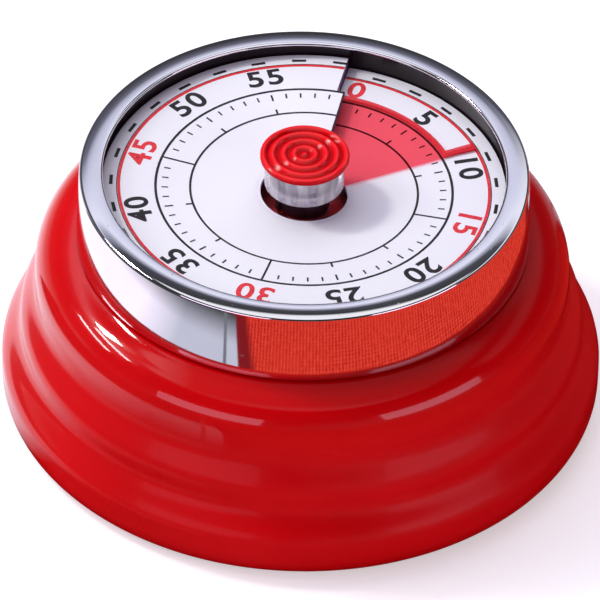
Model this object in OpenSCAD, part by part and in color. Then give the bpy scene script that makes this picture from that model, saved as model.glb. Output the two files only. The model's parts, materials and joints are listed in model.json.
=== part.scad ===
// Round mechanical countdown timer, 60 minutes, with a magnetic back.
// Origin: centre of the resting face, +Z up, the dial's 0 mark towards +Y.
// Dial angles are counted clockwise from the 0 mark, as the minutes are.

/* [Body] */
// Radius of the pressed steel body at its foot
base_r = 35; // [34:0.5:38]
// Radius of the middle rib
rib_r = 32.8; // [32.2:0.1:33.6]
// Radius of the upper rib, below the shoulder
neck_rib_r = 31.1; // [30.4:0.1:31.8]
// Height of the body up to the foot of the chrome ring
body_h = 22.4; // [21.5:0.1:24]
// Radius of the rounded shoulder
shoulder_r = 4.9; // [4:0.1:5.2]
// Radius of the rounded foot edge
foot_edge_r = 2.3; // [1.5:0.1:3]
// Height at which the step to the middle rib begins
upper_step_z = 15; // [14:0.1:16]
// Height at which the step to the foot begins
lower_step_z = 9.2; // [8.5:0.1:10]
// Height that each step takes
step_h = 4.5; // [3.5:0.1:5]
// Thickness of the steel sheet
shell_t = 0.8; // [0.6:0.1:1]

/* [Chrome ring] */
// Outer radius of the chrome ring
ring_r = 26.3; // [25.8:0.1:27]
// Height of the chrome ring
ring_h = 9.1; // [8.5:0.1:10]
// Width of the ring's flat top
ring_lip = 2.75; // [2:0.05:3.2]
// Rounding of the ring's outer top edge
ring_edge_r = 1; // [0.6:0.1:1.4]
// Thickness of the ring's sheet
ring_t = 0.5; // [0.4:0.05:0.6]
// Gap between the body's shoulder and the foot of the ring
ring_gap = 0.25; // [0.15:0.05:0.4]

/* [Dial] */
// Depth of the dial's 0 edge below the top of the ring
dial_depth = 3.15; // [2.8:0.05:3.3]
// Rise of the spiral dial over one turn
dial_rise = 1.4; // [1.3:0.05:1.6]
// Thickness of the dial's web
dial_t = 0.35; // [0.25:0.05:0.45]
// Radius of the round hole in the dial
dial_hole_r = 5.02; // [4.9:0.02:5.2]
// Gap between the dial's edge and the inside of the ring
dial_side_gap = 0.15; // [0.1:0.05:0.3]
// How much lower the dial's hole lies than its rim
dish = 0.8; // [0.6:0.1:0.9]
// Angle before 0 at which the rim steps down and the low end of the dial begins
step_back = 3.7; // [3.5:0.1:5]
// Radius of the tongue of the high end that covers the low end up to 0
tongue_r = 17.3; // [17:0.1:17.6]
// Radius to which the tongue's slanting edge runs in at 0
tongue_tip_r = 10.3; // [9:0.1:12]

/* [Time disc] */
// Radius of the red disc
disc_r = 17.9; // [17:0.1:18.2]
// Thickness of the red disc
disc_t = 0.25; // [0.2:0.05:0.3]
// Running gap between the disc and the dial
disc_gap = 0.1; // [0.08:0.02:0.14]
// Gap between the disc's edge and the rim that carries the dial
disc_rim_gap = 0.7; // [0.5:0.1:1]
// Reach of the pointer on the disc's leading edge
pointer_r = 21.4; // [20:0.1:22]
// Width of the pointer
pointer_w = 0.9; // [0.5:0.05:0.95]
// Minutes shown at rest
minutes_set = 8.8; // [2:0.1:58]

/* [Knob] */
// Radius of the red cap
cap_r = 5.17; // [5:0.05:5.6]
// Height of the knob above the top of the ring
knob_rise = 2.75; // [2.4:0.05:3.5]
// Thickness of the cap at its rim
cap_t = 0.5; // [0.4:0.05:0.8]
// Height of the rings on the cap
cap_ridge_h = 0.3; // [0.2:0.05:0.4]
// Number of rings round the cap's middle
cap_ridges = 3; // [2:1:4]
// Radius of the clear stem
stem_r = 4.62; // [4.4:0.02:4.8]
// Height of the clear stem's foot above the dial's 0 edge
stem_rise = 1.8; // [1.6:0.1:2]
// Radius of the hub that drives the disc, under the clear stem
drive_r = 3; // [2.8:0.1:3.4]
// Radius of the steel arbor inside the stem
arbor_r = 1.8; // [1.5:0.1:2]

/* [Movement frame] */
// Margin of the two plates outside the deck screws
plate_margin = 1.5; // [1.3:0.1:1.8]
// Thickness of the plates
plate_t = 1; // [0.8:0.1:1.2]
// Clear height between the plates
plate_gap = 13; // [13:0.1:13.4]
// Distance of the pillars from the centre
pillar_ring_r = 16; // [15.6:0.1:16.2]
// Radius of a pillar
pillar_r = 1.3; // [1:0.1:1.5]
// Distance of the deck screws from the flange's inner edge
screw_land = 1.4; // [1.3:0.1:1.8]

/* [Wheel train] */
// Teeth of the great wheel
great_teeth = 60; // [60]
// Module of the great wheel
great_module = 0.4; // [0.4]
// Teeth of the pinions that the great wheel drives
second_leaves = 12; // [12]
// Teeth of the second wheel
second_teeth = 48; // [48]
// Module of the second wheel
second_module = 0.35; // [0.35]
// Teeth of the third pinion
third_leaves = 9; // [9]
// Teeth of the third wheel
third_teeth = 54; // [54]
// Module of the third wheel
third_module = 0.3; // [0.3]
// Teeth of the escape pinion
escape_leaves = 9; // [9]
// Teeth of the escape wheel
escape_teeth = 15; // [15]
// Tip radius of the escape wheel
escape_r = 5; // [4.8:0.1:5.2]
// Thickness of the brass wheels
wheel_t = 0.8; // [0.6:0.1:1]
// Radius of the small arbors
pin_r = 0.75; // [0.6:0.05:0.9]
// Radius of the small arbors' pivots
pivot_r = 0.5; // [0.4:0.05:0.55]

/* [Spring and bell] */
// Height of the mainspring
spring_h = 4.4; // [4:0.1:4.6]
// Thickness of the mainspring's strip
spring_t = 0.3; // [0.2:0.05:0.35]
// Outer radius of the mainspring
spring_r = 10.8; // [10.4:0.1:11]
// Turns of the mainspring
spring_turns = 6; // [5:1:7]
// Radius of the bell's rim
bell_r = 16.5; // [16:0.1:16.8]
// Height of the bell
bell_h = 5; // [4.5:0.1:5.2]
// Thickness of the bell
bell_t = 0.8; // [0.6:0.1:1]
// Radius of the hammer's head
hammer_r = 1.4; // [1.2:0.1:1.5]

/* [Back] */
// Thickness of the back cover
cover_t = 1.2; // [1:0.1:1.4]
// Recess of the back cover in the foot
cover_recess = 0.4; // [0.3:0.05:0.6]
// Radius of the round magnet
magnet_r = 9; // [8:0.5:10]
// Thickness of the magnet
magnet_t = 1.6; // [1.4:0.1:1.8]

/* [Fits] */
// Radial gap of a pivot or a shaft in its hole
run_gap = 0.05; // [0.03:0.01:0.08]
// Radial gap between pieces that are pressed together
seat_gap = 0.02; // [0.01:0.01:0.04]
// End shake of the arbors between the plates
end_shake = 0.1; // [0.08:0.01:0.15]
// Gap between pieces that must not rub
free_gap = 0.3; // [0.25:0.05:0.4]

/* [Hidden] */
$fn = 96;
turn = 360;

// Heights, from the table up
ring_z0 = body_h + ring_gap;
ring_top = ring_z0 + ring_h;
dial_z0 = ring_top - dial_depth;
ring_skirt_z = dial_z0 - dial_t;
rim_h = 0.15;
deck_z = dial_z0 - dial_rise - rim_h;
flange_z = deck_z - shell_t;
foot_in_r = base_r - shell_t - foot_edge_r;
front_z = flange_z - plate_t;
back_top = front_z - plate_gap;
back_z = back_top - plate_t;

// Radii round the dial
ring_in_r = ring_r - ring_lip;
neck_gap = 0.1;
neck_r = ring_r - ring_t - neck_gap;
dial_r = ring_in_r - dial_side_gap;
flange_in_r = disc_r + disc_rim_gap;
screw_ring_r = flange_in_r + screw_land;
plate_r = screw_ring_r + plate_margin;

// ---------------------------------------------------------------- curves

function smooth(t) = let(u = max(0, min(1, t))) u * u * (3 - 2 * u);

// Radius of the body's skin at height z, below the shoulder
function skin_r(z) = neck_rib_r
    + (rib_r - neck_rib_r) * smooth((upper_step_z - z) / step_h)
    + (base_r - rib_r) * smooth((lower_step_z - z) / step_h);

// Points of a round corner in the plane of a turned profile
function corner(c, r, a0, a1, steps) =
    [for (i = [0:steps]) let(a = a0 + (a1 - a0) * i / steps) [c[0] + r * cos(a), c[1] + r * sin(a)]];

shoulder_c = [neck_rib_r - shoulder_r, body_h - shoulder_r];
skin_steps = 30;
function skin(inset) =
    [for (i = [0:skin_steps]) let(z = foot_edge_r + (shoulder_c[1] - foot_edge_r) * i / skin_steps)
        [skin_r(z) - inset, z]];

// Points of a section, given as [radius, height], at the dial angle a, counted clockwise from +Y
function around(a, section) = [for (p = section) [p[0] * sin(a), p[0] * cos(a), p[1]]];
// Numbers of the points of ring i, in a list of rings of n points each
function ring_points(i, n) = [for (k = [0:n - 1]) i * n + k];
function backwards(list) = [for (k = [len(list) - 1:-1:0]) list[k]];
// Triangles between two rings, given by their points' numbers
function band(low, high) = [for (k = [0:len(low) - 1]) let(m = (k + 1) % len(low)) each [
    [low[k], high[k], high[m]], [low[k], high[m], low[m]]]];

// A solid that climbs like a spiral stair: section(a) gives its points at the dial angle a in
// anticlockwise order; stops are the angles it has
module spiral(stops, section) {
    last = len(stops) - 1;
    n = len(section(0));
    walls = [for (i = [0:last - 1]) each band(ring_points(i, n), ring_points(i + 1, n))];
    polyhedron([for (a = stops) each around(a, section(a))],
        concat([ring_points(0, n)], walls, [backwards(ring_points(last, n))]), convexity = 6);
}

// Angles from a0 up to a1 in even steps of about 5 degrees
function even_stops(a0, a1) = let(n = ceil((a1 - a0) / 5)) [for (i = [0:n]) a0 + (a1 - a0) * i / n];

// Height of the dial's rim at dial angle a
function dial_top(a) = dial_z0 + dial_rise * a / turn;
// How far the dished dial lies below its rim at radius r
function dip(r) = dish * max(0, (flange_in_r - r) / (flange_in_r - dial_hole_r));

// ---------------------------------------------------------------- toothed wheels

pressure_angle = 20;
tooth_slack = 0.1;
function involute(a) = tan(a) - a * PI / 180;
function half_tooth(r, teeth, mod) =
    let(base = mod * teeth / 2 * cos(pressure_angle),
        a = r > base ? acos(base / r) : 0)
    90 / teeth * (1 - tooth_slack) + (involute(pressure_angle) - involute(a)) * 180 / PI;

// Outline of a spur wheel; a tooth points along +X
module gear_outline(teeth, mod, addendum) {
    pitch = mod * teeth / 2;
    base = pitch * cos(pressure_angle);
    root = pitch - 1.2 * mod;
    tip = pitch + addendum * mod;
    radii = [root, max(base, root + 0.01), pitch, (pitch + tip) / 2, tip];
    polygon([for (k = [0:teeth - 1]) let(c = k * turn / teeth)
        each concat(
            [for (i = [0:4]) let(a = c - half_tooth(radii[i], teeth, mod)) radii[i] * [cos(a), sin(a)]],
            [for (i = [4:-1:0]) let(a = c + half_tooth(radii[i], teeth, mod)) radii[i] * [cos(a), sin(a)]])]);
}

wheel_addendum = 0.65;
leaf_addendum = 0.8;
rim_modules = 3.2;
wheel_hub_w = 1.6;
spoke_w = 1.2;

// A brass wheel with cut-out spokes, its first gap or tooth turned to the angle given
module wheel(teeth, mod, h, bore, phase, spokes) {
    pitch = mod * teeth / 2;
    rim_r = pitch - rim_modules * mod;
    linear_extrude(h) difference() {
        rotate(phase) gear_outline(teeth, mod, wheel_addendum);
        circle(bore);
        difference() {
            circle(rim_r);
            circle(bore + wheel_hub_w);
            for (i = [0:spokes - 1]) rotate(i * turn / spokes + phase)
                translate([0, -spoke_w / 2]) square([rim_r + 1, spoke_w]);
        }
    }
}

// A steel arbor between the plates, with its pivots
module small_arbor() {
    translate([0, 0, back_top + end_shake / 2]) cylinder(r = pin_r, h = plate_gap - end_shake);
    translate([0, 0, back_z + end_shake]) cylinder(r = pivot_r, h = plate_gap + 2 * plate_t - 2 * end_shake);
}

// A pinion that stands out a little above and below the wheel that it meshes with, whose underside is at z
pinion_over = 0.2;
module pinion(leaves, mod, z, phase) {
    translate([0, 0, z - pinion_over]) linear_extrude(wheel_t + 2 * pinion_over)
        rotate(phase) gear_outline(leaves, mod, leaf_addendum);
}

// ---------------------------------------------------------------- plan of the movement

function polar(r, a) = [r * cos(a), r * sin(a)];
function direction(p, q) = atan2(q[1] - p[1], q[0] - p[0]);
// Angle at the centre between two points at radii p and q that lie d apart
function spread(p, q, d) = acos((p * p + q * q - d * d) / (2 * p * q));

great_mesh = great_module * (great_teeth + second_leaves) / 2;
second_mesh = second_module * (second_teeth + third_leaves) / 2;
third_mesh = third_module * (third_teeth + escape_leaves) / 2;
escape_ring_r = 16.8;
balance_ring_r = 17.5;
balance_mesh = 7.5;
hammer_ring_r = 13.5;

second_a = 200;
third_a = second_a - spread(great_mesh, great_mesh, second_mesh);
escape_a = third_a - spread(great_mesh, escape_ring_r, third_mesh);
balance_a = escape_a - spread(escape_ring_r, balance_ring_r, balance_mesh);
alarm_a = second_a + 22 * turn / great_teeth;
hammer_arbor_a = 286;

centre = [0, 0];
second_p = polar(great_mesh, second_a);
third_p = polar(great_mesh, third_a);
escape_p = polar(escape_ring_r, escape_a);
balance_p = polar(balance_ring_r, balance_a);
alarm_p = polar(great_mesh, alarm_a);
hammer_p = polar(hammer_ring_r, hammer_arbor_a);

// Heights of the wheels above the back plate
spring_z = back_top + 0.7;
clutch_z = spring_z + spring_h + 0.3;
clutch_h = 0.5;
great_z = clutch_z + clutch_h + 0.1;
cam_z = great_z + wheel_t + 0.3;
cam_h = 0.8;
second_z = cam_z + cam_h + 0.2;
third_z = second_z + wheel_t + 0.6;
escape_z = back_top + 1.6;
balance_z = back_top + 4.2;
alarm_z = back_top + 2.2;

module at(p, z = 0) { translate([p[0], p[1], z]) children(); }

// ---------------------------------------------------------------- housing

module body_shell() {
    color("red") difference() {
        shell_profile();
        plate_holes(screw_r + seat_gap, screw_ring_r, screw_angles, flange_z);
    }
}

// The sheet from the rolled foot, over the ribs and down inside the neck to the flange
module shell_profile() {
    rotate_extrude() polygon(concat(
        [[foot_in_r, 0]],
        corner([base_r - foot_edge_r, foot_edge_r], foot_edge_r, -90, 0, 8),
        [for (i = [1:skin_steps - 1]) skin(0)[i]],
        corner(shoulder_c, shoulder_r, 0, 90, 14),
        [[neck_r, body_h], [neck_r, deck_z], [flange_in_r, deck_z], [flange_in_r, flange_z],
         [neck_r - shell_t, flange_z]],
        [[neck_r - shell_t, body_h - shell_t]],
        corner(shoulder_c, shoulder_r - shell_t, 86, 0, 12),
        [for (i = [skin_steps - 1:-1:1]) skin(shell_t)[i]],
        corner([base_r - foot_edge_r, foot_edge_r], foot_edge_r - shell_t, 0, -90, 6),
        [[foot_in_r, shell_t]]));
}

module chrome_ring() {
    inner_edge = ring_edge_r - ring_t;
    edge_c = [ring_r - ring_edge_r, ring_top - ring_edge_r];
    lip_edge = 0.2;
    skirt_t = 0.8 * ring_t;
    color("silver") rotate_extrude() polygon(concat(
        [[ring_r - ring_t, ring_z0], [ring_r, ring_z0]],
        corner(edge_c, ring_edge_r, 0, 90, 8),
        corner([ring_in_r + lip_edge, ring_top - lip_edge], lip_edge, 90, 180, 4),
        [[ring_in_r, ring_skirt_z], [ring_in_r + skirt_t, ring_skirt_z],
         [ring_in_r + skirt_t, ring_top - ring_t]],
        corner(edge_c, inner_edge, 90, 0, 6)));
}

// ---------------------------------------------------------------- dial and red disc

// The rim steps down before the 0 mark; a tongue goes on from its high end and leaves a slit for the disc
module dial() {
    step_a = turn - step_back;
    split_a = 0.3;
    slant_a = turn - 0.6;
    tip_a = turn + 1.9;
    rim_stops = even_stops(split_a - step_back, step_a);
    rim = function(z) [[dial_hole_r, z - dish - dial_t], [tongue_r, z - dial_t - dip(tongue_r)],
        [flange_in_r, z - dial_t], [flange_in_r, deck_z], [dial_r, deck_z], [dial_r, z], [flange_in_r, z],
        [tongue_r, z - dip(tongue_r)], [dial_hole_r, z - dish]];
    tongue = function(z, r) [[dial_hole_r, z - dish - dial_t], [r, z - dial_t - dip(r)], [r, z - dip(r)],
        [dial_hole_r, z - dish]];
    n = len(rim(0));
    last = len(rim_stops) - 1;
    step = ring_points(last, n);
    root = [step[0], step[1], step[n - 2], step[n - 1]];
    slant = [for (k = [0:3]) (last + 1) * n + k];
    tip = [for (k = slant) k + 4];
    color("white") polyhedron(
        concat([for (a = rim_stops) each around(a, rim(dial_top(a)))],
            around(slant_a, tongue(dial_top(slant_a), tongue_r)),
            around(tip_a, tongue(dial_top(tip_a), tongue_tip_r))),
        concat([ring_points(0, n)],
            [for (i = [0:last - 1]) each band(ring_points(i, n), ring_points(i + 1, n))],
            [backwards([for (k = [1:n - 2]) step[k]])],
            band(root, slant), band(slant, tip), [backwards(tip)]),
        convexity = 6);
}

disc_in_r = drive_r + disc_gap;
key_w = 0.8;
key_r = drive_r + 0.5 * key_w;
lead_a = minutes_set * turn / 60;
key_a = lead_a - turn / 2;

module time_disc() {
    tail_gap = 2;
    flank = 0.3;
    notch_r = key_r + disc_gap;
    pointer_a = lead_a - atan(pointer_w / disc_r);
    notch_a = asin((key_w / 2 + run_gap) / disc_in_r);
    stops = concat(even_stops(lead_a - turn + tail_gap, key_a - notch_a - flank),
        even_stops(key_a - notch_a, key_a + notch_a),
        even_stops(key_a + notch_a + flank, pointer_a - flank), [pointer_a, lead_a]);
    color("red") spiral(stops, function(a)
        let(z = dial_top(a) + disc_gap,
            bend = disc_r - 0.1,
            inner = abs(a - key_a) < notch_a + flank / 2 ? notch_r : disc_in_r,
            outer = a > pointer_a - flank / 2 ? pointer_r : disc_r,
            low = [[inner, z - dip(inner)], [bend, z - dip(bend)], [outer, z - dip(outer)]])
        concat(low, [for (k = [2:-1:0]) low[k] + [0, disc_t]]));
}

// ---------------------------------------------------------------- knob and main arbor

knob_top = ring_top + knob_rise;
cap_z = knob_top - cap_ridge_h - cap_t;
arbor_seat = cap_t / 2;
stem_z = dial_z0 + stem_rise;
drive_z = deck_z - 2 * run_gap;
washer_z = front_z + plate_t + run_gap;

module knob_cap() {
    edge = 0.24;
    ridge_r = 0.6;
    ridge_gap = (cap_r - 3 * edge) / (cap_ridges + 0.6);
    top = cap_z + cap_t;
    color("crimson") difference() {
        rotate_extrude() intersection() {
            union() {
                polygon(concat([[0, cap_z]], corner([cap_r - edge, cap_z + edge], edge, -90, 0, 4),
                    corner([cap_r - edge, top - edge], edge, 0, 90, 4), [[0, top]]));
                for (k = [0:cap_ridges]) translate([k * ridge_gap, top + cap_ridge_h - ridge_r])
                    circle(ridge_r, $fn = 32);
            }
            translate([0, cap_z]) square([cap_r, cap_t + cap_ridge_h]);
        }
        translate([0, 0, cap_z - 1]) cylinder(r = arbor_r + seat_gap, h = 1 + arbor_seat);
    }
}

module knob_stem() {
    edge = 0.3;
    flare = 0.06;
    color("lightblue") rotate_extrude() polygon(concat(
        [[arbor_r + seat_gap, stem_z]],
        corner([stem_r - edge, stem_z + edge], edge, -90, 0, 4),
        [[stem_r + flare, cap_z], [arbor_r + seat_gap, cap_z]]));
}

// The hub's key reaches into the disc's notch at every height that the disc climbs to
module drive_hub() {
    key_h = dial_rise + 0.9;
    color("dimgray") difference() {
        union() {
            translate([0, 0, drive_z]) cylinder(r = drive_r, h = stem_z - drive_z);
            rotate(90 - key_a) translate([drive_r - 1, -key_w / 2, drive_z])
                cube([key_r - drive_r + 1, key_w, key_h]);
        }
        translate([0, 0, drive_z - 1]) cylinder(r = arbor_r + seat_gap, h = stem_z - drive_z + 2);
    }
}

module stem_washer() {
    color("dimgray") translate([0, 0, washer_z]) difference() {
        cylinder(r = drive_r - free_gap, h = drive_z - washer_z);
        translate([0, 0, -1]) cylinder(r = arbor_r + seat_gap, h = drive_z - washer_z + 2);
    }
}

hub_r = arbor_r + 0.6;
arbor_pivot_r = 1.2;
arbor_tail = 0.9;
module main_arbor() {
    color("slategray") {
        translate([0, 0, back_z - arbor_tail]) cylinder(r = arbor_pivot_r, h = arbor_tail + plate_t + 1);
        translate([0, 0, back_top + end_shake / 2]) cylinder(r = hub_r, h = plate_gap - end_shake);
        translate([0, 0, front_z - 1])
            cylinder(r = arbor_r, h = cap_z + arbor_seat - end_shake - front_z + 1);
    }
}

clip_t = 0.5;
module arbor_clip() {
    color("gray") translate([0, 0, back_z - run_gap - clip_t]) difference() {
        cylinder(r = arbor_pivot_r + 1, h = clip_t);
        translate([0, 0, -1]) cylinder(r = arbor_pivot_r + seat_gap, h = clip_t + 2);
        translate([0, -arbor_pivot_r / 3, -1]) cube([arbor_pivot_r + 2, arbor_pivot_r / 1.5, clip_t + 2]);
    }
}

module great_wheel() {
    color("goldenrod") translate([0, 0, great_z])
        wheel(great_teeth, great_module, wheel_t, hub_r + seat_gap, second_a + 180 / great_teeth, 5);
}

module clutch_spring() {
    arm_l = 6;
    arm_w = 1.4;
    color("silver") translate([0, 0, clutch_z]) linear_extrude(clutch_h) difference() {
        union() {
            circle(hub_r + arm_w);
            for (i = [0:2]) rotate(i * turn / 3) {
                translate([0, -arm_w / 2]) square([arm_l, arm_w]);
                translate([arm_l, 0]) circle(arm_w / 2);
            }
        }
        circle(hub_r + seat_gap);
    }
}

cam_r = 4.3;
module trip_cam() {
    // The notch faces the hammer's finger when the pointer stands at 0
    notch_a = direction(centre, hammer_p) - lead_a;
    notch_d = 0.9;
    color("orange") translate([0, 0, cam_z]) linear_extrude(cam_h) difference() {
        circle(cam_r);
        circle(hub_r + seat_gap);
        rotate(notch_a) translate([cam_r - notch_d, -notch_d]) square(2 * notch_d);
    }
}

// A coil from the arbor outwards, whose tail runs straight to the first pillar
module mainspring() {
    inner_r = hub_r + free_gap;
    steps = 20 * spring_turns;
    tail_a = pillar_angles[0];
    function coil(i, out) = polar(inner_r + (spring_r - inner_r) * i / steps + out, i * turn / 20 + tail_a);
    function tail(r, side) = polar(r, tail_a) + side * [sin(tail_a), -cos(tail_a)];
    color("steelblue") translate([0, 0, spring_z]) linear_extrude(spring_h) difference() {
        polygon(concat(
            [for (i = [0:steps]) coil(i, 0)],
            [tail(pillar_ring_r, 0), tail(pillar_ring_r, spring_t), tail(spring_r + spring_t, spring_t)],
            [for (i = [steps - 1:-1:0]) coil(i, spring_t)]));
        rotate(tail_a) translate([pillar_ring_r, 0]) circle(pillar_r + seat_gap);
    }
}

// ---------------------------------------------------------------- plates, pillars, fasteners

pillar_angles = [65, 12, 308, 244];
screw_angles = [40, 165, 290];
post_angles = [30, 150, 262];
post_ring_r = 19.5;
stud_r = 0.8;
nut_r = 1.5;
nut_h = 0.75;
screw_r = 0.7;
screw_head_r = 1.3;
screw_head_h = 0.7;
cover_head_h = 0.55;
arbor_places = [second_p, third_p, escape_p, balance_p, alarm_p, hammer_p];

// A screw that goes in upwards, with the top of its slotted head at z 0
module slotted_screw(shaft_r, head_r, head_h, shaft_h) {
    slot_w = head_r / 4;
    difference() {
        union() {
            translate([0, 0, -head_h]) cylinder(r = head_r, h = head_h);
            translate([0, 0, -head_h / 2]) cylinder(r = shaft_r, h = head_h / 2 + shaft_h);
        }
        translate([-head_r - 1, -slot_w / 2, -1.5 * head_h]) cube([2 * head_r + 2, slot_w, head_h]);
    }
}

module plate_blank(bore) {
    linear_extrude(plate_t) difference() {
        circle(plate_r);
        circle(bore);
        for (p = arbor_places) translate(p) circle(pivot_r + run_gap);
        for (a = pillar_angles) translate(polar(pillar_ring_r, a)) circle(stud_r + seat_gap);
    }
}

// Round holes right through a plate whose underside is at z, on a ring about the centre
module plate_holes(r, ring_r, angles, z) {
    for (a = angles) at(polar(ring_r, a), z - 1) cylinder(r = r, h = plate_t + 2);
}

module front_plate() {
    color("khaki") difference() {
        translate([0, 0, front_z]) plate_blank(arbor_r + run_gap);
        plate_holes(screw_r + run_gap, screw_ring_r, screw_angles, front_z);
    }
}

module back_plate() {
    color("khaki") difference() {
        translate([0, 0, back_z]) plate_blank(arbor_pivot_r + run_gap);
        plate_holes(screw_r + seat_gap, post_ring_r, post_angles, back_z);
        plate_holes(bell_stud_r + seat_gap, bell_lug_r, bell_lug_angles, back_z);
    }
}

module pillars() {
    color("silver") for (a = pillar_angles) at(polar(pillar_ring_r, a)) {
        translate([0, 0, back_top]) cylinder(r = pillar_r, h = plate_gap);
        translate([0, 0, back_z - nut_h]) cylinder(r = stud_r, h = plate_gap + 2 * plate_t + 2 * nut_h);
    }
}

module plate_nuts() {
    color("silver") for (a = pillar_angles) for (z = [back_z - nut_h, front_z + plate_t])
        at(polar(pillar_ring_r, a), z) difference() {
            cylinder(r = nut_r, h = nut_h, $fn = 6);
            translate([0, 0, -1]) cylinder(r = stud_r + seat_gap, h = nut_h + 2);
        }
}

module deck_screws() {
    color("silver") for (a = screw_angles) at(polar(screw_ring_r, a), front_z)
        slotted_screw(screw_r, screw_head_r, screw_head_h, deck_z - front_z - 2 * run_gap);
}

// ---------------------------------------------------------------- wheel train

module second_wheel() {
    color("goldenrod") at(second_p, second_z) wheel(second_teeth, second_module, wheel_t,
        pin_r + seat_gap, direction(second_p, third_p) + 180 / second_teeth, 4);
}

module second_arbor() {
    color("slategray") at(second_p) {
        small_arbor();
        pinion(second_leaves, great_module, great_z, direction(second_p, centre));
    }
}

module third_wheel() {
    color("goldenrod") at(third_p, third_z) wheel(third_teeth, third_module, wheel_t,
        pin_r + seat_gap, direction(third_p, escape_p) + 180 / third_teeth, 4);
}

module third_arbor() {
    color("slategray") at(third_p) {
        small_arbor();
        pinion(third_leaves, second_module, second_z, direction(third_p, second_p));
    }
}

module escape_wheel() {
    step = turn / escape_teeth;
    root_r = escape_r - 1.3;
    tip_w = 0.04 * step;
    root_w = 0.22 * step;
    hole_r = 0.7;
    // A tooth on the line to the lever leaves each of its pins a quarter of a step from a tooth
    phase = direction(escape_p, balance_p);
    color("gold") at(escape_p, escape_z) linear_extrude(wheel_t) rotate(phase) difference() {
        polygon([for (k = [0:escape_teeth - 1]) let(c = k * step) each [
            polar(root_r, c - root_w), polar(escape_r, c - tip_w),
            polar(escape_r, c + tip_w), polar(root_r, c + root_w)]]);
        circle(pin_r + seat_gap);
        for (i = [0:4]) rotate(i * turn / 5) translate([(pin_r + root_r) / 2, 0]) circle(hole_r);
    }
}

module escape_arbor() {
    color("slategray") at(escape_p) {
        small_arbor();
        pinion(escape_leaves, third_module, third_z, direction(escape_p, third_p));
    }
}

pallet_pin_r = 0.25;
pallet_span = 3.5 * turn / escape_teeth / 2;
pallet_reach = escape_r + pallet_pin_r + 0.08;

// Place of a pallet pin, seen from the balance arbor; side is 1 or -1
function pallet_p(side) = let(a = direction(escape_p, balance_p) + side * pallet_span)
    escape_p + pallet_reach * [cos(a), sin(a)] - balance_p;

lever_z = escape_z + wheel_t + 0.5;
lever_h = 0.6;
lever_w = 1;
module pallet_lever() {
    color("silver") at(balance_p) {
        translate([0, 0, lever_z]) linear_extrude(lever_h) difference() {
            union() {
                circle(1.7 * lever_w);
                for (side = [-1, 1]) let(p = pallet_p(side)) {
                    rotate(atan2(p[1], p[0])) translate([0, -lever_w / 2]) square([norm(p), lever_w]);
                    translate(p) circle(0.55 * lever_w);
                }
            }
            circle(pin_r + seat_gap);
        }
        for (side = [-1, 1]) at(pallet_p(side), escape_z - 0.2)
            cylinder(r = pallet_pin_r, h = lever_z - escape_z + 0.4);
    }
}

balance_r = 3.9;
balance_t = 1.2;
balance_rim_w = 0.9;
balance_hub_r = 1.6;
balance_spoke_w = 1.2;
module balance_wheel() {
    color("goldenrod") at(balance_p, balance_z) linear_extrude(balance_t) difference() {
        circle(balance_r);
        difference() {
            circle(balance_r - balance_rim_w);
            circle(balance_hub_r);
            rotate(balance_a) square([2 * balance_r, balance_spoke_w], center = true);
        }
        circle(pin_r + seat_gap);
    }
}

module balance_arbor() { color("slategray") at(balance_p) small_arbor(); }

star_teeth = 12;
star_r = 2.9;
star_d = 0.9;
module alarm_wheel() {
    color("gold") at(alarm_p, alarm_z) linear_extrude(wheel_t) difference() {
        polygon([for (k = [0:star_teeth - 1]) let(s = turn / star_teeth) each [
            star_r * [cos(k * s), sin(k * s)],
            (star_r - star_d) * [cos((k + 0.5) * s), sin((k + 0.5) * s)]]]);
        circle(pin_r + seat_gap);
    }
}

module alarm_arbor() {
    color("slategray") at(alarm_p) {
        small_arbor();
        pinion(second_leaves, great_module, great_z, direction(alarm_p, centre));
    }
}

// ---------------------------------------------------------------- bell and hammer

bell_gap = 1.5;
bell_top = back_z - nut_h - bell_gap;
bell_z0 = bell_top - bell_h;
bell_screw_r = 0.8;
bell_bridge_t = 0.7;
bell_lug_r = 4.5;
bell_stud_r = 0.6;
bell_lug_angles = [90, 210, 330];
arm_h = 0.7;
arm_w = 1.2;
arm_hub_r = 1.5;
arm_z = back_z - nut_h - free_gap - arm_h;
hammer_a = 322;
hammer_head_p = polar(bell_r + free_gap + hammer_r, hammer_a);

module bell() {
    dome = 3;
    c = [bell_r - dome, bell_top - dome];
    color("lightgray") difference() {
        rotate_extrude() polygon(concat(
            [[bell_r - bell_t, bell_z0], [bell_r, bell_z0]], corner(c, dome, 0, 90, 8),
            [[0, bell_top], [0, bell_top - bell_t]], corner(c, dome - bell_t, 90, 0, 6)));
        translate([0, 0, bell_top - bell_t - 1]) cylinder(r = bell_screw_r + seat_gap, h = bell_t + 2);
    }
}

// The bell hangs from the back plate by a bridge with three feet that straddles the arbor's end
module bell_post() {
    h = back_z - bell_top;
    foot_r = 1;
    color("dimgray") difference() {
        union() {
            translate([0, 0, bell_top]) cylinder(r = bell_lug_r + 1.4 * foot_r, h = bell_bridge_t);
            for (a = bell_lug_angles) at(polar(bell_lug_r, a), bell_top) {
                cylinder(r = foot_r, h = h);
                cylinder(r = bell_stud_r, h = h + plate_t);
            }
        }
        translate([0, 0, bell_top - 1]) cylinder(r = bell_screw_r + seat_gap, h = bell_bridge_t + 2);
    }
}

module bell_screw() {
    color("silver") translate([0, 0, bell_top - bell_t])
        slotted_screw(bell_screw_r, 2.5 * bell_screw_r, bell_screw_r, bell_t + bell_bridge_t - run_gap);
}

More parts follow.
